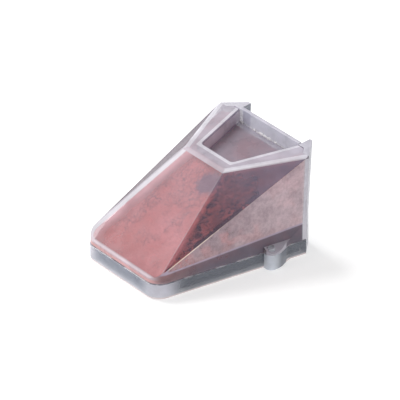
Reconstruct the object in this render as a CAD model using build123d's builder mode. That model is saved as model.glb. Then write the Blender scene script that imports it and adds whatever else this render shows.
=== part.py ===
"""Wedge-shaped case of red chalk powder, in millimetres.

A faceted translucent shell holds the chalk. A rear frame with two slanted wings closes its back, a thin
film seals its underside, and a shallow tray covers the film and swings out sideways on a riveted pin.
+X is the case's right, +Y runs from the low nose to the tall back, +Z is up, and the tray stands on Z = 0.
"""

import os

from build123d import *

# Case in plan, at its foot
body_length = 50.0  # nose face to the shoulders, where the case is widest
front_width = 33.3
shoulder_width = 39.2
tail_length = 5.0  # shoulders to the rear tips of the wings
tail_width = 28.4  # across the rear tips
corner_radius = 4.2  # upright corners beside the nose

# Heights
tray_height = 4.6
seam_gap = 0.1  # running gap between the tray and what is above it
film_thickness = 0.2
film_clearance = 0.1  # between the film's edge and the root of the pivot's ear
film_reach = 0.8  # how far the film runs back past the shoulders, between the wings
nose_height = 6.3  # where the front slope meets the nose face
skirt_front_height = 7.85  # where the skirt ends beside the nose
skirt_back_height = 10.5  # where the skirt ends at the shoulders
deck_front_height = 28.4
deck_shoulder_height = 31.3

# Deck and lean of the upper walls
deck_setback = 29.15  # nose face to the deck's front edge
deck_front_width = 18.0
shoulder_lean = 0.9  # how far each shoulder stands out at the deck
tail_lean_out = 0.45
tail_lean_back = 0.7

# Walls
wall = 1.4
wing_thickness = 2.0
panel_thickness = 1.05
panel_setback = 2.75  # shoulders to the panel's rear face
bay_width = 27.0  # between the wings, behind the panel
panel_rise = 0.3  # how far the panel's top stands above the deck

# Finger recess in the deck
recess_setback = 4.4  # deck's front edge to the recess
recess_front_width = 13.8
recess_rear_width = 27.0  # at the panel
recess_depth = 3.8
recess_corner_radius = 1.2

# Tray
tray_proud = 0.2  # how far the tray stands outside the shell
tray_wall = 1.3
tray_floor = 1.0
tray_edge_radius = 0.6
swing_gap = 0.15  # between the tray and the rear frame

# Pivot lug on the right-hand side
pin_station = 37.6  # nose face to the pin, along the case
pin_offset = 0.9  # side wall to the pin's axis
lug_radius = 1.85
lug_tail = 7.0  # pin's axis to the end of the fairing
lug_height = 6.5  # top of the shell's ear, at the wall
lug_slope = 25.0  # degrees that the ear's top falls outwards
pin_radius = 0.9
pin_head_radius = 1.15
pin_head_height = 1.0
pin_seat = 5.35  # height of the head's underside
pin_head_edge = 0.4  # rounding of the head's rim
pin_foot_radius = 1.3  # riveted end, sunk in the tray's boss
pin_foot_top = 1.0  # roof of the pocket that takes the riveted end
pin_foot_inset = 0.25
pin_foot_play = 0.05
running_clearance = 0.05
seat_clearance = 0.02

# Chalk and bonding
charge_gap = 0.1  # between the chalk and the shell
bead_radius = 0.45
bead_end_gap = 0.4  # end of the recess to the end of the bead

# Derived places
nose_y = -(body_length + tail_length + tail_lean_back) / 2
shoulder_y = nose_y + body_length
panel_front_y = shoulder_y + panel_setback - panel_thickness
film_foot = tray_height + seam_gap
shell_foot = film_foot + film_thickness
film_margin = wall / 2 + film_clearance  # case's outline to the film's edge
clear = 5.0  # how far a cutting shape runs past what it cuts
side_spread = (shoulder_width - front_width) / 2 / body_length


def half_width(station):
    """Half of the case's width at its foot, that far behind the nose face."""
    return front_width / 2 + side_spread * station


def lean_share(height):
    """How much of the full lean the upper walls have at a height: 0 at the skirt's top, 1 at the deck."""
    return max(0.0, (height - skirt_back_height) / (deck_shoulder_height - skirt_back_height))


# Corners of the facets, on the right-hand side
slope_rate = (deck_front_height - nose_height) / deck_setback
skirt_corner_station = (skirt_front_height - nose_height) / slope_rate
skirt_corner = Vector(half_width(skirt_corner_station), nose_y + skirt_corner_station, skirt_front_height)
skirt_back_corner = Vector(shoulder_width / 2, shoulder_y, skirt_back_height)
deck_corner = Vector(deck_front_width / 2, nose_y + deck_setback, deck_front_height)
shoulder_corner = Vector(shoulder_width / 2 + shoulder_lean, shoulder_y, deck_shoulder_height)
nose_corner = Vector(front_width / 2, nose_y, nose_height)
case_middle = Vector(0, nose_y + body_length / 2, shell_foot + wall)


def mirrored(corner):
    """The same corner on the left-hand side."""
    return Vector(-corner.X, corner.Y, corner.Z)


def facet(a, b, c, inset=0.0):
    """Plane through three corners that faces out of the case, moved inwards by inset."""
    normal = (b - a).cross(c - a).normalized()
    if normal.dot(a - case_middle) < 0:
        normal = -normal
    return Plane(origin=a - normal * inset, z_dir=normal)


def deck_plane(inset=0.0):
    """The deck's plane, with its origin in the middle of the deck's front edge and +Y towards the back."""
    plane = facet(deck_corner, mirrored(deck_corner), shoulder_corner, inset)
    middle = Vector(0, deck_corner.Y, deck_corner.Z) - plane.z_dir * inset
    return Plane(origin=middle, x_dir=(1, 0, 0), z_dir=plane.z_dir)


def wing_corners(height):
    """Right wing's outline at a height: shoulder, rear tip, and the inner face's two ends."""
    lean = lean_share(height)
    shoulder = Vector(shoulder_width / 2 + shoulder_lean * lean, shoulder_y)
    tip = Vector(tail_width / 2 + tail_lean_out * lean, shoulder_y + tail_length + tail_lean_back * lean)
    run = (tip - shoulder).normalized()
    inwards = Vector(-run.Y, run.X) * wing_thickness
    start = shoulder + inwards

    def inner_at(y):
        return start + run * ((y - start.Y) / run.Y)

    return shoulder, tip, inner_at(shoulder_y), inner_at(panel_front_y)


def outside_wings(gap=0.0):
    """Solid that fills everything outside the wings' inner faces, moved inwards by gap."""
    top = deck_shoulder_height + 2 * clear
    with BuildPart() as cutter:
        levels = (-clear, skirt_back_height, top)
        for low, high in zip(levels, levels[1:]):
            for side in (1, -1):
                for height in (low, high):
                    _, _, front, rear = wing_corners(height)
                    beyond = rear + (rear - front) * 3
                    reach = shoulder_width / 2 + clear
                    outline = [
                        (side * reach, shoulder_y - gap),
                        (side * (front.X - gap), shoulder_y - gap),
                        (side * (beyond.X - gap), beyond.Y - gap),
                        (side * reach, beyond.Y - gap),
                    ]
                    with BuildSketch(Plane.XY.offset(height)):
                        with BuildLine():
                            Polyline(*outline, close=True)
                        make_face()
                loft(ruled=True)
    return cutter.part


def between_wings():
    """Solid between the wings' inner faces, from the shoulders to the panel's front face."""
    with BuildPart() as room:
        with BuildSketch():
            with Locations((0, (shoulder_y + panel_front_y) / 2)):
                Rectangle(shoulder_width, panel_front_y - shoulder_y)
        extrude(amount=deck_shoulder_height + clear)
        add(outside_wings(), mode=Mode.SUBTRACT)
    return room.part


def foot_plan(inset, rear_y, flare=0.0):
    """Case's outline in plan, moved in by inset, with round nose corners; flare widens it behind them."""
    radius = corner_radius - inset
    near = front_width / 2 - inset * (1 + side_spread**2) ** 0.5 + side_spread * inset
    start = nose_y + inset
    bend = near + side_spread * radius
    far = near + side_spread * (rear_y - start) + flare
    with BuildSketch() as plan:
        with BuildLine():
            Polyline(
                (-near, start),
                (near, start),
                (bend, start + radius),
                (far, rear_y),
                (-far, rear_y),
                (-bend, start + radius),
                close=True,
            )
        make_face()
        fillet(plan.vertices().group_by(Axis.Y)[0], radius)
    return plan.sketch


def faceted_body(inset, foot, rear_y):
    """Solid inside the case's facets, each moved in by inset, between a foot height and a rear plane."""
    sides = (lambda corner: corner, mirrored)
    with BuildPart() as body:
        # Upper walls, which lean outwards from the skirt's top edge
        with BuildSketch(Plane.XY.offset(foot)):
            add(foot_plan(inset, rear_y, flare=2 * clear))
        extrude(amount=deck_shoulder_height + clear - foot)
        for side in sides:
            corners = [side(corner) for corner in (skirt_corner, skirt_back_corner, shoulder_corner)]
            split(bisect_by=facet(*corners, inset), keep=Keep.BOTTOM)
        # Upright skirt below them
        with BuildSketch(Plane.XY.offset(foot)):
            add(foot_plan(inset, rear_y))
        extrude(amount=skirt_back_height - foot)
        # Facets above the diagonals, the front slope and the deck
        for side in sides:
            corners = [side(corner) for corner in (skirt_corner, deck_corner, shoulder_corner)]
            split(bisect_by=facet(*corners, inset), keep=Keep.BOTTOM)
        split(bisect_by=facet(nose_corner, deck_corner, mirrored(deck_corner), inset), keep=Keep.BOTTOM)
        split(bisect_by=deck_plane(inset), keep=Keep.BOTTOM)
    return body.part


def recess(grow=0.0):
    """Solid of the finger recess, its walls and floor moved outwards by grow, open above the deck."""
    length = (panel_front_y - deck_corner.Y) / abs(deck_plane().y_dir.Y) - recess_setback
    flare = (recess_rear_width - recess_front_width) / 2 / length
    rear = length + clear
    front_half = recess_front_width / 2 + grow
    rear_half = front_half + flare * (rear + grow)
    with BuildPart() as hollow:
        with BuildSketch(deck_plane(recess_depth + grow)):
            with BuildLine():
                Polyline(
                    (-front_half, recess_setback - grow),
                    (front_half, recess_setback - grow),
                    (rear_half, recess_setback + rear),
                    (-rear_half, recess_setback + rear),
                    close=True,
                )
            face = make_face()
            fillet(face.vertices().group_by(Axis.Y)[0], recess_corner_radius + grow)
        extrude(amount=recess_depth + grow + clear)
    return hollow.part


# Pivot lug: its outline stands on the right-hand side wall, with local +X towards the nose
side_run = Vector(side_spread, 1).normalized()
pin_wall = Vector(half_width(pin_station), nose_y + pin_station)
side_out = Vector(side_run.Y, -side_run.X)
pin_axis = pin_wall + side_out * pin_offset


def lug_plane(height):
    """Plane at a height with its origin on the side wall beside the pin, +X to the nose and +Y outwards."""
    return Plane(origin=(pin_wall.X, pin_wall.Y, height), x_dir=-side_run, z_dir=(0, 0, 1))


def lug_face():
    """Outline of the lug: a round nose about the pin, and a fairing that runs back into the wall."""
    root = wall / 2
    around = lug_radius / 2**0.5
    with BuildSketch() as outline:
        with BuildLine():
            front = Line((lug_radius, -root), (lug_radius, pin_offset))
            top = (0, pin_offset + lug_radius)
            nose = ThreePointArc(front @ 1, (around, pin_offset + around), top)
            fairing = Spline(nose @ 1, (-lug_tail, 0), tangents=[(-1, 0), (-1, -0.25)])
            Polyline(fairing @ 1, (-lug_tail, -root), front @ 0)
        make_face()
    return outline.sketch


def upright_post(radius, foot, top):
    """Round post on the pin's axis between two heights."""
    with BuildPart() as post:
        with BuildSketch(Plane.XY.offset(foot)):
            with Locations((pin_axis.X, pin_axis.Y)):
                Circle(radius)
        extrude(amount=top - foot)
    return post.part


# Shell: faceted hollow body with the recess let into its deck and the pivot's ear on its skirt
ear_top = Plane(
    origin=(pin_wall.X, pin_wall.Y, lug_height),
    z_dir=Vector(0, 0, 1).rotate(Axis((0, 0, 0), (side_run.X, side_run.Y, 0)), lug_slope),
)
with BuildPart() as tub:
    add(recess(wall))
    add(faceted_body(0, shell_foot, panel_front_y), mode=Mode.INTERSECT)
with BuildPart() as ear:
    with BuildSketch(lug_plane(film_foot)):
        add(lug_face())
    extrude(amount=lug_height - film_foot + clear)
    split(bisect_by=ear_top, keep=Keep.BOTTOM)
with BuildPart() as hopper_shell:
    add(faceted_body(0, shell_foot, panel_front_y))
    add(faceted_body(wall, shell_foot - clear, panel_front_y + clear), mode=Mode.SUBTRACT)
    add(tub.part)
    add(recess(), mode=Mode.SUBTRACT)
    add(outside_wings(), mode=Mode.SUBTRACT)
    add(ear.part)
    add(upright_post(pin_radius + seat_clearance, film_foot - clear, pin_seat), mode=Mode.SUBTRACT)
    pocket_top = pin_seat + pin_head_height + running_clearance
    add(upright_post(pin_head_radius + running_clearance, pin_seat, pocket_top), mode=Mode.SUBTRACT)
hopper_shell.part.label = "hopper_shell"

# Rear frame: the panel behind the chalk between two slanted wings, standing on the same face as the tray
with BuildPart() as frame_outline:
    for low, high in ((0, skirt_back_height), (skirt_back_height, deck_shoulder_height + 2 * clear)):
        for height in (low, high):
            shoulder, tip, _, _ = wing_corners(height)
            with BuildSketch(Plane.XY.offset(height)):
                with BuildLine():
                    Polyline(
                        (shoulder.X, shoulder.Y),
                        (tip.X, tip.Y),
                        (-tip.X, tip.Y),
                        (-shoulder.X, shoulder.Y),
                        close=True,
                    )
                make_face()
        loft(ruled=True)
with BuildPart() as panel:
    with BuildSketch():
        with Locations((0, panel_front_y + panel_thickness / 2)):
            Rectangle(recess_rear_width, panel_thickness)
    extrude(amount=deck_shoulder_height + clear)
    split(bisect_by=deck_plane(-panel_rise), keep=Keep.BOTTOM)
with BuildPart() as rear_frame:
    add(frame_outline.part)
    split(bisect_by=deck_plane(), keep=Keep.BOTTOM)
    # Room in front of the panel, between the wings' inner faces
    add(between_wings(), mode=Mode.SUBTRACT)
    # Bay behind the panel
    with BuildSketch():
        with Locations((0, panel_front_y + panel_thickness + clear / 2)):
            Rectangle(bay_width, clear)
    extrude(amount=deck_shoulder_height + clear, mode=Mode.SUBTRACT)
    add(panel.part)
rear_frame.part.label = "rear_frame"

# Base film: flat sheet welded under the shell's walls, which keeps the chalk off the tray
with BuildPart() as base_film:
    with BuildSketch(Plane.XY.offset(film_foot)):
        add(foot_plan(film_margin, shoulder_y + film_reach))
    extrude(amount=film_thickness)
    add(outside_wings(charge_gap), mode=Mode.SUBTRACT)
base_film.part.label = "base_film"

# Chalk: powder that fills the shell up to the recess, the film and the panel
with BuildPart() as chalk_charge:
    add(faceted_body(wall + charge_gap, shell_foot + charge_gap, panel_front_y - charge_gap))
    add(recess(wall + charge_gap), mode=Mode.SUBTRACT)
    add(outside_wings(charge_gap), mode=Mode.SUBTRACT)
chalk_charge.part.label = "chalk_charge"

# Swing tray: shallow open tray with a boss around the pin
tray_back_y = shoulder_y - swing_gap
with BuildPart() as swing_tray:
    with BuildSketch():
        add(foot_plan(-tray_proud, tray_back_y))
    extrude(amount=tray_height)
    fillet(swing_tray.faces().sort_by(Axis.Z)[0].edges(), tray_edge_radius)
    with BuildSketch(lug_plane(0)):
        add(lug_face())
    extrude(amount=tray_height)
    with BuildSketch(Plane.XY.offset(tray_floor)):
        add(foot_plan(tray_wall - tray_proud, tray_back_y - tray_wall))
    extrude(amount=tray_height, mode=Mode.SUBTRACT)
    add(upright_post(pin_radius + running_clearance, 0, tray_height), mode=Mode.SUBTRACT)
    add(upright_post(pin_foot_radius + running_clearance, 0, pin_foot_top), mode=Mode.SUBTRACT)
swing_tray.part.label = "swing_tray"

# Pivot pin: plain shaft with a rounded head above the ear and a riveted end inside the tray's boss
with BuildPart() as pivot_pin:
    add(upright_post(pin_radius, pin_foot_inset, pin_seat))
    add(upright_post(pin_foot_radius, pin_foot_inset, pin_foot_top - pin_foot_play))
    add(upright_post(pin_head_radius, pin_seat, pin_seat + pin_head_height))
    fillet(pivot_pin.faces().sort_by(Axis.Z)[-1].edges(), pin_head_edge)
pivot_pin.part.label = "pivot_pin"

# Weld bead: bonding compound along the foot of the panel, on the recess floor
floor_level = deck_plane(recess_depth)
bead_station = (panel_front_y - floor_level.origin.Y) / floor_level.y_dir.Y
with BuildPart() as weld_bead:
    with BuildSketch(Plane.YZ):
        with Locations((panel_front_y, (floor_level.origin + floor_level.y_dir * bead_station).Z)):
            Circle(bead_radius)
    extrude(amount=recess_rear_width / 2 - bead_end_gap, both=True)
    with BuildPart(mode=Mode.PRIVATE) as behind:
        with BuildSketch():
            with Locations((0, panel_front_y + clear / 2)):
                Rectangle(shoulder_width, clear)
        extrude(amount=deck_shoulder_height)
    add(behind.part, mode=Mode.SUBTRACT)
    split(bisect_by=floor_level, keep=Keep.TOP)
weld_bead.part.label = "weld_bead"

os.makedirs("parts", exist_ok=True)
for piece in (hopper_shell, rear_frame, base_film, chalk_charge, swing_tray, pivot_pin, weld_bead):
    export_step(piece.part, "parts/" + piece.part.label + ".step")
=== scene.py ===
import bpy, math
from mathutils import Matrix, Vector, noise


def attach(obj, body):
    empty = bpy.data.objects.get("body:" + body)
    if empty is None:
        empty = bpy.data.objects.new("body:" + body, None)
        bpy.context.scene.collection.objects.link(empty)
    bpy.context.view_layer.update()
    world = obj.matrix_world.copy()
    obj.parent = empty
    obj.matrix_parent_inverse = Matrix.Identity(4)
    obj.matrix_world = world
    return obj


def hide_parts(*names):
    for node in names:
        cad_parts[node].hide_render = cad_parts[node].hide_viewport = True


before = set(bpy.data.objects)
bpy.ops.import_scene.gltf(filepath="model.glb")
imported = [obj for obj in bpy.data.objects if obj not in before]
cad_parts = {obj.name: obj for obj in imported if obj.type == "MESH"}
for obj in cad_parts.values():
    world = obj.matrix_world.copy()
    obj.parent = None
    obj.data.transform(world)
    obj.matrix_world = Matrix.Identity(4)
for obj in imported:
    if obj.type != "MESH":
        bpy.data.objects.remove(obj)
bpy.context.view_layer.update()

# Frosted shell: one thin-walled polypropylene moulding with flat facets and softly rounded ridges. The wall
# turns milky wherever it is seen through its thickness, along the ridges and in the lip round the recess,
# and every facet keeps its own haze from the polish of the mould. Light and shade are also painted on: painted
# highlights along the nose, the crease, the diagonal and the top edges of the skirts and side facets, painted
# light on the slope's foot and left rim, painted shade on the left upper facet and along the skirts, and a
# painted reflection of the floor on the tall side facets.
MM = 0.001
WALL = 1.4


def leave_nothing_selected():
    bpy.ops.object.select_all(action="DESELECT")


def working_copy(node, name):
    """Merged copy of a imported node, with its flat faces whole again, as the start of a finished piece."""
    leave_nothing_selected()
    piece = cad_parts[node].copy()
    piece.data = piece.data.copy()
    piece.name = piece.data.name = name
    bpy.context.scene.collection.objects.link(piece)
    place = piece.matrix_world.copy()
    piece.parent = None
    piece.matrix_world = place
    piece.select_set(True)
    bpy.context.view_layer.objects.active = piece
    bpy.ops.object.transform_apply(location=True, rotation=True, scale=True)
    bpy.ops.object.mode_set(mode="EDIT")
    bpy.ops.mesh.select_all(action="SELECT")
    bpy.ops.mesh.remove_doubles(threshold=0.004 * MM)
    bpy.ops.mesh.dissolve_limited(angle_limit=math.radians(0.8))
    bpy.ops.object.mode_set(mode="OBJECT")
    piece.data.materials.clear()
    for poly in piece.data.polygons:
        poly.material_index = 0
    return piece


def pick_faces(piece, chosen):
    """Opens the piece in edit mode with only the chosen faces selected."""
    bpy.context.view_layer.objects.active = piece
    bpy.ops.object.mode_set(mode="EDIT")
    bpy.ops.mesh.select_mode(type="FACE")
    bpy.ops.mesh.select_all(action="DESELECT")
    bpy.ops.object.mode_set(mode="OBJECT")
    for poly in piece.data.polygons:
        poly.select = chosen(poly)
    bpy.ops.object.mode_set(mode="EDIT")


def score(piece, chosen, place, across):
    """Cuts a line into the chosen faces where a plane through place meets them, in millimetres."""
    pick_faces(piece, chosen)
    bpy.ops.mesh.bisect(plane_co=Vector(place) * MM, plane_no=across)
    bpy.ops.object.mode_set(mode="OBJECT")


def soften(piece, width, angle=20, material=-1, chosen=None, clamp=True):
    """Rounds the edges sharper than angle by width in millimetres, or only those of them that are chosen."""
    mesh = piece.data
    beside = {}
    for poly in mesh.polygons:
        for key in poly.edge_keys:
            beside.setdefault(key, []).append(poly)
    layer = "bevel_weight_edge"
    rounding = mesh.attributes.get(layer) or mesh.attributes.new(layer, "FLOAT", "EDGE")
    for edge in mesh.edges:
        pair = beside[edge.key]
        middle = sum((mesh.vertices[i].co for i in edge.vertices), Vector()) / 2 / MM
        sharp = len(pair) == 2 and pair[0].normal.angle(pair[1].normal) > math.radians(angle)
        rounding.data[edge.index].value = float(sharp and (chosen is None or chosen(middle, pair)))
    bevel = piece.modifiers.new("soft_edges", "BEVEL")
    bevel.width = width * MM
    bevel.segments = 3
    bevel.limit_method = "WEIGHT"
    bevel.material = material
    bevel.use_clamp_overlap = clamp
    bpy.context.view_layer.objects.active = piece
    piece.select_set(True)
    bpy.ops.object.modifier_apply(modifier=bevel.name)
    bpy.ops.object.mode_set(mode="EDIT")
    bpy.ops.mesh.select_all(action="SELECT")
    bpy.ops.mesh.dissolve_degenerate(threshold=0.0005 * MM)
    bpy.ops.object.mode_set(mode="OBJECT")
    bpy.ops.object.shade_smooth_by_angle(angle=math.radians(35))


class Nodes:
    """Small wrapper that adds shader nodes reading the piece's own coordinates."""

    def __init__(self, name):
        self.mat = bpy.data.materials.new(name)
        self.mat.use_nodes = True
        self.tree = self.mat.node_tree
        self.shader = self.tree.nodes["Principled BSDF"]
        self.where = self.tree.nodes.new("ShaderNodeTexCoord").outputs["Object"]

    def put(self, socket, value):
        """Links a socket, or sets it to a number, a colour or a vector."""
        if isinstance(value, bpy.types.NodeSocket):
            self.tree.links.new(value, socket)
        elif isinstance(value, tuple) and socket.type == "RGBA":
            socket.default_value = (*value, 1)
        else:
            socket.default_value = value

    def cloud(self, size, detail=4, rough=0.55, where=None):
        """Cloudy noise whose patches measure about size millimetres."""
        node = self.tree.nodes.new("ShaderNodeTexNoise")
        node.inputs["Scale"].default_value = 1 / (size * MM)
        node.inputs["Detail"].default_value = detail
        node.inputs["Roughness"].default_value = rough
        self.put(node.inputs["Vector"], where or self.where)
        return node.outputs["Fac"]

    def band(self, value, low, high, bottom=0.0, top=1.0):
        """Smooth step from bottom to top while value goes from low to high."""
        node = self.tree.nodes.new("ShaderNodeMapRange")
        node.interpolation_type = "SMOOTHSTEP"
        for key, number in (("From Min", low), ("From Max", high), ("To Min", bottom), ("To Max", top)):
            node.inputs[key].default_value = number
        self.put(node.inputs["Value"], value)
        return node.outputs["Result"]

    def maths(self, what, *values):
        node = self.tree.nodes.new("ShaderNodeMath")
        node.operation = what
        for socket, value in zip(node.inputs, values):
            self.put(socket, value)
        return node.outputs["Value"]

    def over(self, under, colour, amount):
        """Colour laid over another by amount."""
        node = self.tree.nodes.new("ShaderNodeMixRGB")
        self.put(node.inputs["Color1"], under)
        self.put(node.inputs["Color2"], colour)
        self.put(node.inputs["Fac"], amount)
        return node.outputs["Color"]

    def bright(self, colour, factor):
        """Colour made lighter or darker by a factor."""
        node = self.tree.nodes.new("ShaderNodeVectorMath")
        node.operation = "SCALE"
        self.put(node.inputs[0], colour)
        self.put(node.inputs["Scale"], factor)
        return node.outputs["Vector"]

    def axes(self, what="Object"):
        """The three coordinates of a point, or the three parts of the way its surface faces."""
        node = self.tree.nodes.new("ShaderNodeSeparateXYZ")
        self.put(node.inputs["Vector"], self.where.node.outputs[what])
        return node.outputs["X"], node.outputs["Y"], node.outputs["Z"]

    def greatest(self, *values):
        """The greatest of several numbers."""
        most = values[0]
        for value in values[1:]:
            most = self.maths("MAXIMUM", most, value)
        return most

    def reach(self, a, b):
        """Length of the slanting side over a and b."""
        return self.maths("SQRT", self.maths("ADD", self.maths("MULTIPLY", a, a), self.maths("MULTIPLY", b, b)))

    def relief(self, height, depth, strength):
        """Bump of that depth in millimetres."""
        node = self.tree.nodes.new("ShaderNodeBump")
        node.inputs["Strength"].default_value = strength
        node.inputs["Distance"].default_value = depth * MM
        self.put(node.inputs["Height"], height)
        self.put(self.shader.inputs["Normal"], node.outputs["Normal"])


def darker(colour, share):
    return tuple(channel * share for channel in colour)


def frost(n, colour, haze, edge_haze, roughness=0.3, mottling=0.08, dust=0.0, gloss=0.35):
    """See-through plastic: haze is how milky it is seen square on, edge_haze seen along its surface."""
    patches = n.cloud(6)
    n.put(n.shader.inputs["Base Color"], n.bright(colour, n.band(patches, 0.3, 0.7, 1.0, 1.2)))
    slant = n.tree.nodes.new("ShaderNodeLayerWeight")
    slant.inputs["Blend"].default_value = 0.5
    along = n.maths("POWER", slant.outputs["Facing"], 2.5)
    veil = n.maths("MULTIPLY_ADD", along, n.maths("SUBTRACT", edge_haze, haze), haze)
    cloudy = n.maths("MULTIPLY_ADD", n.maths("SUBTRACT", patches, 0.5), mottling, veil)
    if dust:
        cloudy = n.maths("ADD", cloudy, n.band(n.cloud(1.1, 5, 0.75), 0.35, 0.65, -dust, dust))
    n.put(n.shader.inputs["Alpha"], n.maths("MINIMUM", n.maths("MAXIMUM", cloudy, 0.0), 1.0))
    n.put(n.shader.inputs["Roughness"], n.band(patches, 0.3, 0.7, roughness * 0.85, roughness * 1.2))
    n.relief(n.cloud(0.6, 3), 0.01, 0.4)
    n.shader.inputs["IOR"].default_value = 1.49
    n.shader.inputs["Specular IOR Level"].default_value = gloss
    return n.mat


def plastic(name, colour, haze, edge_haze, **finish):
    return frost(Nodes(name), colour, haze, edge_haze, **finish)


# Corners and directions of the facets, in millimetres, for the right-hand side
DECK_EDGE = Vector((0, 1.3, 28.4))  # middle of the deck's front edge
DECK_UP = Vector((0, -0.1378, 0.9905))
DECK_CORNER = Vector((9, 1.3, 28.4))
SHOULDER = Vector((20.5, 22.15, 31.3))
NOSE_CORNER = Vector((16.77, -25.81, 7.85))
SKIRT_END = Vector((19.6, 22.15, 10.5))
SLOPE_OUT = Vector((0, -0.604, 0.797))
SLOPE_FOOT = Vector((0, -27.85, 6.3))
RIDGE_SIDE = Vector((0.8757, -0.483, 0))  # square to the ridge between deck and upper facet, outwards
RECESS_CORNER = Vector((6.9, 5.66, 0))
RECESS_SIDE = Vector((0.940, -0.341, 0))  # square to the recess's side wall, outwards
CAVITY = Vector((0, -3, 9))  # a point well inside the shell
LIP = 1.2  # width of the milky edge along the deck's ridges

shell = working_copy("hopper_shell", "frosted_shell")


def on_deck(poly):
    return poly.normal.dot(DECK_UP) > 0.999 and abs((poly.center / MM - DECK_EDGE).dot(DECK_UP)) < 0.05


def on_slope(poly):
    return poly.normal.dot(SLOPE_OUT) > 0.999 and abs((poly.center / MM - SLOPE_FOOT).dot(SLOPE_OUT)) < 0.2


def slope_ridge_at(n, z):
    """How far from the middle the slope's side ridge stands at a height."""
    return n.maths("MULTIPLY_ADD", z, -0.378, 19.74 * MM)


def slope_plastic(name, haze_colour, painted_light_pink, side_white, nose_highlight, pink):
    """Front slope: clear over the powder, milky along its rim where the walls are seen through their depth,
    with painted highlights along its foot and along the crease at its top, and painted light towards its foot
    and inside its left rim.
    """
    n = Nodes(name)
    x, _, z = n.axes()
    ridge = slope_ridge_at(n, z)
    up = n.maths("MULTIPLY_ADD", z, -1 / SLOPE_OUT.y, (SLOPE_FOOT.z / SLOPE_OUT.y - 0.8) * MM)

    def inside(from_side, rounding):
        """How far in from the slope's rim, with the rim's lower corner rounded."""
        a = n.maths("MAXIMUM", n.maths("SUBTRACT", rounding, from_side), 0.0)
        b = n.maths("MAXIMUM", n.maths("SUBTRACT", rounding, up), 0.0)
        return n.maths("SUBTRACT", rounding, n.reach(a, b))

    margin = n.maths("ADD", x, ridge)
    left = inside(n.maths("SUBTRACT", margin, 1.5 * MM), 3.2 * MM)
    right = inside(n.maths("SUBTRACT", n.maths("SUBTRACT", ridge, x), 0.2 * MM), 2.4 * MM)
    rim = n.maths("MINIMUM", left, right)
    milky_left = n.band(left, -0.5 * MM, 0.5 * MM, 0.88, 0.0)
    milky_right = n.band(right, -0.6 * MM, 0.8 * MM, 0.4, 0.0)
    # painted light: the slope is made paler towards its foot and inside its left rim, over the shade at the
    # powder's edge
    painted_foot_light = n.band(z, 7 * MM, 18 * MM, 0.12, 0.05)
    painted_left_light = n.band(margin, 2.0 * MM, 6.0 * MM, 0.24, 0.0)
    haze = n.maths("ADD", n.greatest(milky_left, milky_right, 0.19), n.maths("ADD", painted_foot_light, painted_left_light))
    # painted highlight along the nose ridge at the foot of the slope, over the milky side rim
    white = n.over(side_white, nose_highlight, n.band(up, -1.5 * MM, 2 * MM, 1.0, 0.0))
    rosy = n.over(haze_colour, pink, n.band(z, 8 * MM, 20 * MM, 0.65, 0.2))
    rosy = n.over(rosy, painted_light_pink, n.band(margin, 2.0 * MM, 6.0 * MM, 0.9, 0.0))
    colour = n.over(white, rosy, n.band(rim, -0.2 * MM, 0.4 * MM))
    colour = n.over(colour, pink, n.band(z, 5.5 * MM, 6.2 * MM, 1.0, 0.0))
    colour = n.over(colour, pink, n.band(n.axes("Normal")[0], 0.2, 0.6))
    # painted highlight along the crease at the top of the slope
    top = n.band(z, 27.85 * MM, 28.1 * MM, 0.0, 0.8)
    return frost(n, n.over(colour, nose_highlight, top), n.maths("MAXIMUM", haze, top), 0.95, gloss=0.12)


def rear_rim(n, y):
    """The last stretch of a side wall, where it is seen through its depth against the rear frame."""
    return n.band(y, 20.6 * MM, 21.1 * MM)


def foot_plastic(name, nose_highlight, pink, mauve, lilac, white):
    """Upright band round the foot: pink over the powder at the nose with a painted highlight along its top, and
    painted shade, darker and greyer, along the sides, with a painted lilac highlight along their top edge.
    """
    n = Nodes(name)
    _, y, z = n.axes()
    side = n.band(n.maths("ABSOLUTE", n.axes("Normal")[0]), 0.35, 0.97)
    # painted highlight along the top of the nose face
    front = n.over(pink, nose_highlight, n.band(z, 5.6 * MM, 6.2 * MM))
    # painted shade: dark pink to dark mauve along the sides
    flank_shade = n.over(darker(pink, 0.5), mauve, n.band(y, -27 * MM, -8 * MM, 0.3, 1.0))
    # painted lilac highlight along the top edge of the sides
    top_edge = n.maths("MULTIPLY_ADD", y, 0.0553, 9.28 * MM)
    edge = n.band(n.maths("SUBTRACT", top_edge, z), 0.35 * MM, 0.8 * MM, 1.0, 0.0)
    edge = n.maths("MULTIPLY", edge, side)
    rear = rear_rim(n, y)
    colour = n.over(n.over(n.over(front, flank_shade, side), lilac, edge), white, rear)
    whiter = n.maths("MULTIPLY", n.maths("MAXIMUM", rear, edge), 0.85)
    return frost(n, colour, n.maths("MAXIMUM", n.band(side, 0.0, 1.0, 0.82, 0.66), whiter), 0.8)


def side_plastic(name, veil, cream, white):
    """Tall side facet: dusty inside, with a pale veil that is partly a frostier finish and partly a painted
    reflection of the floor, and a painted glint along its top edge that fades towards the back.
    """
    n = Nodes(name)
    _, y, z = n.axes()
    top_edge = n.maths("MULTIPLY_ADD", y, 0.439, 18.38 * MM)
    below = n.maths("ADD", top_edge, n.maths("MULTIPLY", z, -0.898))
    fading = n.band(n.maths("MULTIPLY_ADD", n.cloud(2.5), 14 * MM, y), -8 * MM, 8 * MM, 1.0, 0.15)
    glint = n.maths("MULTIPLY", n.band(below, 0.15 * MM, 0.5 * MM, 1.0, 0.0), fading)
    rear = rear_rim(n, y)
    whiter = n.maths("MULTIPLY", n.maths("MAXIMUM", rear, glint), 0.85)
    haze = n.maths("MAXIMUM", n.band(y, -20 * MM, 22 * MM, 0.27, 0.42), whiter)
    colour = n.over(n.over(veil, white, rear), cream, glint)
    return frost(n, colour, haze, 0.9, roughness=0.6, mottling=0.2, dust=0.05, gloss=0.0)


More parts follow.
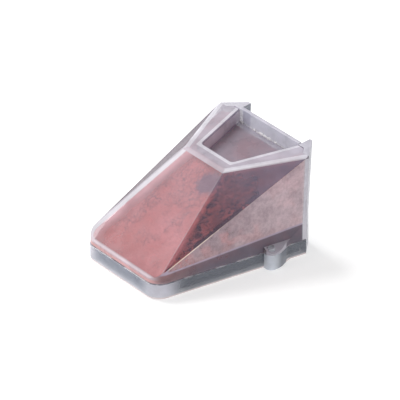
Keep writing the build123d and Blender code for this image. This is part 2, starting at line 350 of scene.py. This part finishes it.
def diagonal_plastic(name, cream, mauve):
    """Ridge that runs up the side: it catches the light near the nose and fades towards the back."""
    n = Nodes(name)
    y = n.axes()[1]
    back = n.band(n.maths("MULTIPLY_ADD", n.cloud(3), 12 * MM, y), -12 * MM, 2 * MM)
    return frost(n, n.over(cream, mauve, back), n.band(back, 0.0, 1.0, 0.62, 0.25), 0.9, gloss=0.1)


def upper_plastic(name, brown, blue, white=None):
    """Facet above the diagonal: clear at the nose, with a bluish veil that thickens towards the shoulder,
    and on the left white along the slope, where that wall is seen through its depth."""
    n = Nodes(name)
    x, y, z = n.axes()
    back = n.band(n.maths("ADD", y, z), 2 * MM, 52 * MM)
    colour, haze = n.over(brown, blue, back), n.band(back, 0.0, 1.0, 0.27, 0.54)
    if white:
        past_ridge = n.maths("SUBTRACT", n.maths("ABSOLUTE", x), slope_ridge_at(n, z))
        rim = n.band(past_ridge, 0.9 * MM, 1.5 * MM, 1.0, 0.0)
        colour, haze = n.over(colour, white, rim), n.maths("MAXIMUM", haze, n.maths("MULTIPLY", rim, 0.9))
    return frost(n, colour, haze, 1.0, roughness=0.6, gloss=0.0)


# colour of the painted highlight along the nose ridge and the crease
NOSE_HIGHLIGHT = (0.66, 0.54, 0.59)
PINK = (0.72, 0.4, 0.4)
WHITE = (0.6, 0.58, 0.64)
facets = {
    "slope": slope_plastic(
        "frosted_slope", (0.74, 0.58, 0.66), (0.86, 0.54, 0.6), (0.6, 0.575, 0.62), NOSE_HIGHLIGHT, PINK
    ),
    # the mauve is the painted shade of the skirt's sides, the lilac a painted highlight along their top edge
    "foot": foot_plastic("frosted_foot", NOSE_HIGHLIGHT, PINK, (0.18, 0.155, 0.2), (0.42, 0.36, 0.46), WHITE),
    "upper": upper_plastic("frosted_upper", (0.31, 0.25, 0.31), (0.39, 0.34, 0.45)),
    # painted shade: the left upper facet is given darker colours than the right one
    "upper_left": upper_plastic(
        "frosted_upper_left_shade", (0.17, 0.145, 0.17), (0.18, 0.155, 0.185), (0.42, 0.4, 0.44)
    ),
    # the pale pink veil is partly a frostier finish and partly a painted reflection of the floor; the cream is
    # a painted glint
    "side": side_plastic("frosted_side", (1.0, 0.8, 0.86), (1.0, 0.84, 0.72), WHITE),
    "deck": plastic("frosted_deck", (0.56, 0.52, 0.6), 0.6, 0.85),
    "lip": plastic("frosted_lip", (0.64, 0.62, 0.68), 0.82, 0.95),
    "recess": plastic("frosted_recess", (0.32, 0.3, 0.36), 0.55, 0.8),
    "recess_wall": plastic("frosted_recess_wall", (0.7, 0.6, 0.7), 0.5, 0.8),
    "ear": plastic("frosted_ear", (0.52, 0.49, 0.56), 0.7, 0.9),
    "ridge": plastic("frosted_ridge", (0.62, 0.57, 0.64), 0.55, 0.9, roughness=0.2),
    "slope_ridge": plastic("frosted_slope_ridge", (0.62, 0.45, 0.52), 0.35, 0.85, gloss=0.08),
    "diagonal": diagonal_plastic("frosted_diagonal", (1.0, 0.84, 0.74), (0.45, 0.36, 0.42)),
    # painted shade on the faces of the diagonal ridge that turn away from the lamp
    "shaded_ridge": plastic("frosted_left_diagonal_shade", (0.2, 0.18, 0.2), 0.85, 0.95, gloss=0.1),
    "skirt_ridge": plastic("frosted_skirt_ridge", (0.5, 0.4, 0.5), 0.5, 0.9),
    "crease": plastic("frosted_crease", (0.56, 0.5, 0.56), 0.75, 0.98, gloss=0.08),
    "inside": plastic("clear_inside", (0.42, 0.4, 0.46), 0.02, 0.8),
}
order = list(facets)
for name in order:
    shell.data.materials.append(facets[name])


def facet_of(poly):
    """Which part of the moulding a face belongs to, from where it is and which way it looks."""
    n, c = poly.normal, poly.center / MM
    below_deck = -(c - DECK_EDGE).dot(DECK_UP)
    side = Vector((abs(c.x), c.y, 0))
    if on_deck(poly):
        round_recess = (side - RECESS_CORNER).dot(RECESS_SIDE) < WALL and c.y > RECESS_CORNER.y - WALL
        along_ridge = (side - DECK_CORNER).dot(RIDGE_SIDE) > -LIP
        return "lip" if round_recess or along_ridge else "deck"
    if n.z < -0.9:
        return "inside" if c.z > 6 else "ridge"
    if c.x > (17 if n.z > 0.9 else 19.9) and 2 < c.y < 16 and c.z < 7.5:
        return "ear"
    in_recess = below_deck < 4.5 and (side - RECESS_CORNER).dot(RECESS_SIDE) < 0.3 and c.y > 5.4
    if n.z > 0.9 and in_recess:
        return "recess"
    if abs(n.z) < 0.3 and in_recess:
        return "recess_wall"
    if n.dot(c - CAVITY) < 0:
        return "inside"
    if abs(n.z) < 0.02:
        return "foot"
    if on_slope(poly) or (n.y < -0.15 and c.y < -20 and abs(n.x) < 0.9):
        return "slope"
    if n.z < 0.02 and abs(n.x) > 0.9:
        return "side"
    return "upper" if n.x > 0 else "upper_left"


for poly in shell.data.polygons:
    poly.material_index = order.index(facet_of(poly))


def looks(pair):
    return {order[poly.material_index] for poly in pair}


def outer_ridge(middle, pair):
    """Edge of the outer facets, away from the ear, the cavity and the recess."""
    ear = middle.x > 17.5 and 2 < middle.y < 14 and middle.z < 7.5
    return not ear and not looks(pair) & {"inside", "recess", "recess_wall", "ridge"}


def high_ridge(middle, pair):
    return middle.z > 26 and middle.y < 20 and outer_ridge(middle, pair)


def recess_edge(middle, pair):
    return looks(pair) <= {"recess", "recess_wall", "lip", "deck"}


soften(shell, 0.7, material=order.index("ridge"), chosen=high_ridge)
soften(shell, 0.6, material=order.index("ridge"), chosen=outer_ridge)
soften(shell, 0.35, material=order.index("lip"), chosen=recess_edge, clamp=False)
for side in (1, -1):
    flip = Vector((side, 1, 1))
    score(shell, on_deck, (RECESS_CORNER + RECESS_SIDE * WALL) * flip, RECESS_SIDE * flip)
    score(shell, on_deck, (DECK_CORNER - RIDGE_SIDE * LIP) * flip, RIDGE_SIDE * flip)
score(shell, on_deck, RECESS_CORNER - Vector((0, WALL, 0)), (0, 1, 0))
for poly in shell.data.polygons:
    if poly.material_index != order.index("ridge"):
        poly.material_index = order.index(facet_of(poly))
ridges = {
    "slope_ridge": (NOSE_CORNER, DECK_CORNER),
    "diagonal": (NOSE_CORNER, SHOULDER),
    "skirt_ridge": (NOSE_CORNER, SKIRT_END),
    "crease": (DECK_EDGE, DECK_CORNER),
    "lip": (DECK_CORNER, SHOULDER),
}
for poly in shell.data.polygons:
    c = poly.center / MM
    if poly.material_index != order.index("ridge") or c.z < 6:
        continue
    if poly.normal.dot(c - CAVITY) < 0:
        poly.material_index = order.index("inside")
        continue
    if c.y < -24 and poly.normal.y < -0.2:
        poly.material_index = order.index("slope")
        continue
    c.x = abs(c.x)
    gaps = {}
    for name, (start, end) in ridges.items():
        run = end - start
        along = max(0, min(1, (c - start).dot(run) / run.length_squared))
        gaps[name] = (c - start - run * along).length
    nearest = min(gaps, key=gaps.get)
    if gaps[nearest] < 0.8:
        away_from_lamp = nearest == "diagonal" and poly.normal.x < 0
        poly.material_index = order.index("shaded_ridge" if away_from_lamp else nearest)
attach(shell, "case")
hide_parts("hopper_shell")

# Chalk: dry red powder tamped into the shell. It lies smooth and dusty against the front slope, with hair
# cracks where it has settled, and stands off the side walls in hollows between clods, darkened with painted
# shade.
chalk = working_copy("chalk_charge", "red_chalk")
grains = chalk.modifiers.new("grains", "REMESH")
grains.mode = "VOXEL"
grains.voxel_size = 0.42 * MM
bpy.ops.object.modifier_apply(modifier="grains")
settle = chalk.modifiers.new("settle", "SMOOTH")
settle.iterations = 4
settle.factor = 0.5
bpy.ops.object.modifier_apply(modifier="settle")
surface = [(vertex.co.copy(), vertex.normal.copy()) for vertex in chalk.data.vertices]
for vertex, (spot, normal) in zip(chalk.data.vertices, surface):
    p = spot / MM
    sideways = min(1, abs(normal.x) * 1.5)
    clods = max(0, noise.fractal(p * 0.42, 1.0, 2.0, 5) - 0.02)
    pits = max(0, noise.noise(p * 1.3) - 0.15)
    vertex.co = spot - normal * min(clods * (0.08 + 0.35 * sideways) + pits * 0.15, 0.6) * MM
bpy.ops.object.shade_smooth()


def powder(name, rose, pale, dark, hollow_shade):
    """Dusty chalk: a pale bloom over a rose body, hair cracks, and painted shade in the hollows on the sides
    and under the slope's top right corner.
    """
    n = Nodes(name)
    x, _, z = n.axes()
    swirl = n.tree.nodes.new("ShaderNodeTexNoise")
    swirl.inputs["Scale"].default_value = 1 / (3.5 * MM)
    swirl.inputs["Detail"].default_value = 5
    n.put(swirl.inputs["Vector"], n.where)
    centred = n.tree.nodes.new("ShaderNodeVectorMath")
    centred.operation = "SUBTRACT"
    n.put(centred.inputs[0], swirl.outputs["Color"])
    centred.inputs[1].default_value = (0.5, 0.5, 0.5)
    warp = n.tree.nodes.new("ShaderNodeVectorMath")
    warp.operation = "MULTIPLY_ADD"
    n.put(warp.inputs[0], centred.outputs["Vector"])
    warp.inputs[1].default_value = (3 * MM, 3 * MM, 3 * MM)
    n.put(warp.inputs[2], n.where)
    bent = warp.outputs["Vector"]

    def hairline(size, width):
        value = n.maths("ABSOLUTE", n.maths("SUBTRACT", n.cloud(size, 5, 0.6, bent), 0.5))
        return n.band(value, 0.0, width, 1.0, 0.0)

    def crazing(size):
        """Distance to the edges of angular cells of about that size, as a share of it."""
        cells = n.tree.nodes.new("ShaderNodeTexVoronoi")
        cells.feature = "DISTANCE_TO_EDGE"
        cells.inputs["Scale"].default_value = 1 / (size * MM)
        n.put(cells.inputs["Vector"], bent)
        return cells.outputs["Distance"]

    side = n.band(n.maths("ABSOLUTE", n.axes("Normal")[0]), 0.4, 0.7)
    colour = n.over(rose, pale, n.band(n.cloud(13, 4), 0.38, 0.62, 0.1, 0.8))
    colour = n.over(colour, darker(rose, 0.75), n.band(n.cloud(1.6, 6, 0.7), 0.46, 0.66, 0.0, 0.5))
    # Hair cracks and specks, thickest towards the top left
    high = n.maths("SUBTRACT", z, n.maths("MULTIPLY", x, 0.5))
    settled = n.band(high, 6 * MM, 22 * MM, -0.06, 0.06)
    patch = n.band(n.maths("ADD", n.cloud(6, 5, 0.65), settled), 0.44, 0.56, 0.0, 0.75)
    cracks = n.maths("MAXIMUM", n.band(crazing(1.7), 0.0, 0.065, 1.0, 0.0), hairline(3, 0.017))
    colour = n.over(colour, dark, n.maths("MULTIPLY", cracks, patch))
    colour = n.over(colour, darker(rose, 0.6), n.maths("MULTIPLY", patch, 0.3))
    colour = n.over(colour, dark, n.band(n.cloud(0.5, 3, 0.75), 0.56, 0.68, 0.0, 0.5))
    # Painted shade where the powder stands off the wall under the slope's top right corner
    reach = n.tree.nodes.new("ShaderNodeVectorMath")
    reach.operation = "DISTANCE"
    n.put(reach.inputs[0], bent)
    reach.inputs[1].default_value = (5.8 * MM, -2.3 * MM, 25.0 * MM)
    ragged = n.maths("MULTIPLY_ADD", n.cloud(1.2, 4, 0.7), 3 * MM, reach.outputs["Value"])
    colour = n.over(colour, hollow_shade, n.band(ragged, 4.2 * MM, 6.8 * MM, 0.95, 0.0))
    # Clods on the sides, with painted shade in the gaps between them, from hairlines to wide hollows, and more
    # painted shade towards their top
    from_middle = n.maths("ABSOLUTE", n.maths("SUBTRACT", z, 17 * MM))
    looser = n.maths("ADD", n.cloud(5, 6, 0.65), n.band(from_middle, 2 * MM, 9 * MM, 0.06, -0.07))
    gap = n.band(looser, 0.45, 0.62, 0.0, 0.5)
    gaps = n.band(n.maths("SUBTRACT", crazing(1.5), gap), -0.08, 0.06, 0.92, 0.0)
    gaps = n.maths("MULTIPLY", gaps, n.band(looser, 0.4, 0.5, 0.35, 1.0))
    clod = n.over(darker(rose, 0.62), darker(rose, 1.05), n.band(n.cloud(1.3, 5, 0.7), 0.4, 0.62))
    clod = n.over(clod, dark, gaps)
    upward = n.band(n.cloud(7, 4, 0.6), 0.35, 0.6, 0.45, 0.95)
    clod = n.over(clod, hollow_shade, n.maths("MULTIPLY", n.band(z, 17 * MM, 27 * MM), upward))
    colour = n.over(colour, clod, side)
    n.put(n.shader.inputs["Base Color"], n.bright(colour, n.band(n.cloud(0.8, 4, 0.8), 0.35, 0.65, 0.88, 1.08)))
    n.shader.inputs["Roughness"].default_value = 0.95
    n.shader.inputs["Specular IOR Level"].default_value = 0.15
    n.relief(n.cloud(1.0, 6, 0.7), 0.14, 0.7)
    return n.mat


# the dark colour marks the hair cracks and specks and is the painted shade in the gaps between clods; the
# violet is the painted shade of the hollows
chalk.data.materials.append(
    powder("red_chalk", (0.54, 0.125, 0.12), (0.66, 0.21, 0.225), (0.04, 0.014, 0.045), (0.09, 0.055, 0.12))
)
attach(chalk, "case")
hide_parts("chalk_charge")

# Rear frame: a second moulding in the same frosted plastic, bonded behind the shell. Its wings run from the
# top of the deck to the table and their thick edges look greyer than the thin panel between them. Their faces
# into the bay behind the panel are painted dark as shade.
back = working_copy("rear_frame", "frosted_back")


def panel_plastic(name, colour):
    """Panel: the powder shows faintly through its lower part, and above the recess floor it is milky."""
    n = Nodes(name)
    return frost(n, colour, n.band(n.axes()[2], 24 * MM, 27 * MM, 0.34, 0.62), 0.92)


back_looks = {
    "panel": panel_plastic("frosted_panel", (0.6, 0.6, 0.71)),
    "wing": plastic("frosted_wing", (0.36, 0.36, 0.42), 0.5, 0.92),
    # painted shade on the wings' faces into the bay behind the panel
    "bay": plastic("frosted_bay_shade", (0.2, 0.21, 0.26), 0.8, 0.95, gloss=0.1),
    "top": plastic("frosted_back_top", (0.5, 0.48, 0.55), 0.75, 0.92),
}
for finish in back_looks.values():
    back.data.materials.append(finish)


def back_part_of(poly):
    """Which part of the rear frame a face belongs to: its top, the panel, the bay behind it or a wing."""
    c, n = poly.center / MM, poly.normal
    if n.z > 0.8 and c.z > 28:
        return "top"
    if abs(n.y) > 0.9 and abs(c.x) < 12:
        return "panel"
    if c.y > 24.9 and n.x * c.x < 0 and abs(n.x) > 0.9:
        return "bay"
    return "wing"


for poly in back.data.polygons:
    poly.material_index = list(back_looks).index(back_part_of(poly))
soften(back, 0.25)
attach(back, "case")
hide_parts("rear_frame")

# Base film: a thin sheet cut to the outline of the shell and welded under it, which carries the powder
# above the empty tray. Dust clings to its upper side, so from below it shows a dull rose grey.
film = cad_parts["base_film"]
film.data.materials.clear()
film.data.materials.append(plastic("thin_film", (0.3, 0.2, 0.22), 0.55, 0.9))

# Weld bead: bonding compound that squeezed out along the foot of the panel as it was pressed in. It has
# set white and uneven, in short runs with bare places between them.
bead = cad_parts["weld_bead"]
bead.data.materials.clear()
compound = Nodes("bonding_compound")
runs = compound.band(compound.cloud(2.2, 4, 0.65), 0.5, 0.6)
frost(compound, (0.72, 0.7, 0.72), compound.band(runs, 0.0, 1.0, 0.08, 0.8), 0.8, roughness=0.6, gloss=0.1)
bead.data.materials.append(compound.mat)

# Tray: clear plastic, open at the top, whose empty inside looks dark under the powder; that dark is painted on
# its sides as shade, its front corners carry a painted highlight and its foot the painted light of the floor
# seen through.
# The solid boss round the pin catches more light than the thin walls, and that light is painted on it.
tray = working_copy("swing_tray", "clear_tray")


def tray_plastic(name, slate, pale, foot_line):
    """Clear wall of the tray: painted shade darkens it along the sides, and it is pale round the front corners,
    partly from its depth and partly with a painted highlight, and at its foot with the painted light of the
    floor seen through it.
    """
    n = Nodes(name)
    x, y, z = n.axes()
    upright = n.band(n.maths("ABSOLUTE", n.axes("Normal")[2]), 0.5, 0.95, 1.0, 0.0)
    from_corner = n.reach(n.maths("SUBTRACT", n.maths("ABSOLUTE", x), 17 * MM), n.maths("ADD", y, 27 * MM))
    # front corners paler: partly their milky depth, partly a painted highlight
    corner = n.band(from_corner, 1.0 * MM, 9.5 * MM, 1.0, 0.0)
    # painted light of the floor seen through the foot of the wall
    foot = n.maths(
        "MULTIPLY", n.band(z, 0.5 * MM, 2.2 * MM, 0.75, 0.0), n.band(y, -27 * MM, -16 * MM, 1.0, 0.3)
    )
    lit = n.maths("MULTIPLY", n.maths("MAXIMUM", corner, foot), upright)
    line = n.maths("MULTIPLY", n.band(z, 0.5 * MM, 1.0 * MM, 0.85, 0.0), upright)
    # painted shade: along the sides the wall darkens to under half the slate
    wall = n.over(slate, darker(slate, 0.46), n.band(y, -27 * MM, -16 * MM))
    haze = n.greatest(n.band(lit, 0.0, 1.0, 0.42, 0.72), n.band(y, -27 * MM, -14 * MM, 0.0, 0.6), line)
    colour = n.over(n.over(wall, pale, lit), foot_line, line)
    return frost(n, colour, haze, 0.85, roughness=0.2, gloss=0.5)


def boss_plastic(name, pale, slate):
    """Solid boss: painted light on its front, where the solid block catches the lamp, sinking back into the
    painted shade of the wall behind it.
    """
    n = Nodes(name)
    return frost(n, n.over(pale, slate, n.band(n.axes()[1], 9 * MM, 13 * MM)), 0.62, 0.9, roughness=0.2)


def rim_plastic(name, slate, white):
    """Top edge of the tray, rough from trimming: a painted highlight along it, white in some stretches and dull
    in others.
    """
    n = Nodes(name)
    return frost(n, n.over(slate, white, n.band(n.cloud(5, 3, 0.6), 0.45, 0.56)), 0.9, 0.95, roughness=0.2)


tray_looks = {
    "wall": tray_plastic("clear_tray_wall", (0.36, 0.39, 0.47), (0.68, 0.67, 0.75), (0.9, 0.78, 0.78)),
    "edge": plastic("clear_tray_edge", (0.85, 0.74, 0.74), 0.7, 0.95, roughness=0.2),
    # the pale is painted light on the boss, the slate the painted shade behind it
    "boss": boss_plastic("clear_tray_boss", (0.80, 0.84, 0.92), (0.2, 0.215, 0.26)),
    # the white is a painted highlight along the rim
    "rim": rim_plastic("clear_tray_rim", (0.42, 0.42, 0.48), (0.95, 0.94, 0.97)),
}
tray_order = list(tray_looks)
for name in tray_order:
    tray.data.materials.append(tray_looks[name])


def tray_part_of(poly):
    """Which part of the tray a face belongs to, from where it is and which way it looks."""
    c, n = poly.center / MM, poly.normal
    if c.x > 18.6 and 3 < c.y < 15.5 and (c.y < 12 or c.x > 19.9):
        return "boss"
    if c.z < 0.7 and -0.95 < n.z < -0.1:
        return "edge"
    return "rim" if c.z > 4.5 else "wall"


for poly in tray.data.polygons:
    poly.material_index = tray_order.index(tray_part_of(poly))
soften(tray, 0.2, angle=40, material=tray_order.index("edge"))
for poly in tray.data.polygons:
    if poly.material_index == tray_order.index("edge") and poly.center.z > 4 * MM:
        poly.material_index = tray_order.index("rim")
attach(tray, "tray")
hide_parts("swing_tray")

# Pivot pin: turned from the same clear plastic, pushed down through the ear and riveted over in the tray's
# boss. Its rounded head has a small dimple from the tool that closed it.
pin = working_copy("pivot_pin", "clear_pin")
pin.data.materials.append(plastic("pin_plastic", (0.62, 0.64, 0.7), 0.6, 0.9))
HEAD_TOP, DIMPLE_RIM, DIMPLE_DEPTH = 6.35, 0.2, 0.3


def top_of_head(poly):
    return poly.normal.z > 0.99 and poly.center.z > (HEAD_TOP - 0.05) * MM


pick_faces(pin, top_of_head)
bpy.ops.mesh.inset(thickness=DIMPLE_RIM * MM)
bpy.ops.transform.translate(value=(0, 0, -DIMPLE_DEPTH * MM))
bpy.ops.object.mode_set(mode="OBJECT")
bpy.ops.object.shade_smooth_by_angle(angle=math.radians(35))
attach(pin, "case")
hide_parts("pivot_pin")

# Floor, lights and camera: the case stands on a sheet of pale paper that is lit a little from within, under
# a broad soft lamp from the upper left and a weak one behind. The camera looks down on its nose and lug.
leave_nothing_selected()
bpy.ops.mesh.primitive_plane_add(size=4, location=(0, 0, -0.02 * MM))
floor = bpy.context.object
floor.name = "floor"
paper = Nodes("floor_paper")
paper.shader.inputs["Base Color"].default_value = (0.72, 0.72, 0.72, 1)
paper.shader.inputs["Roughness"].default_value = 0.9
paper.shader.inputs["Emission Color"].default_value = (1, 1, 1, 1)
paper.shader.inputs["Emission Strength"].default_value = 0.5
floor.data.materials.append(paper.mat)

studio = bpy.data.worlds.new("studio")
bpy.context.scene.world = studio
studio.use_nodes = True
studio.node_tree.nodes["Background"].inputs["Color"].default_value = (1, 1, 1, 1)
studio.node_tree.nodes["Background"].inputs["Strength"].default_value = 0.42


def soft_light(name, place, size, power):
    leave_nothing_selected()
    bpy.ops.object.light_add(type="AREA", location=place)
    lamp = bpy.context.object
    lamp.name = name
    lamp.data.shape = "DISK"
    lamp.data.size = size
    lamp.data.energy = power
    lamp.rotation_mode = "QUATERNION"
    lamp.rotation_quaternion = (Vector((0, 0, 0.01)) - Vector(place)).to_track_quat("-Z", "Y")


soft_light("key", (-0.45, -0.1, 0.6), 0.5, 5.2)
soft_light("rim", (0.5, 0.45, 0.35), 0.25, 0.5)

heading, rise, distance = math.radians(53.294), math.radians(28.234), 1.395
away = Vector((math.sin(heading) * math.cos(rise), -math.cos(heading) * math.cos(rise), math.sin(rise)))
right = (-away).cross(Vector((0, 0, 1))).normalized()
upward = right.cross(-away)
aim = Vector((0, -0.4, 12.5)) * MM + upward * 3.07 * MM + right * 0.14 * MM
camera = bpy.data.objects.new("camera", bpy.data.cameras.new("camera"))
bpy.context.scene.collection.objects.link(camera)
bpy.context.scene.camera = camera
camera.rotation_mode = "QUATERNION"
camera.rotation_quaternion = (-away).to_track_quat("-Z", "Y")
camera.location = aim + away * distance
camera.data.lens = 450
camera.data.sensor_width = 36
camera.data.clip_start = 0.05
camera.data.clip_end = 50
bpy.context.scene.view_settings.view_transform = "Standard"
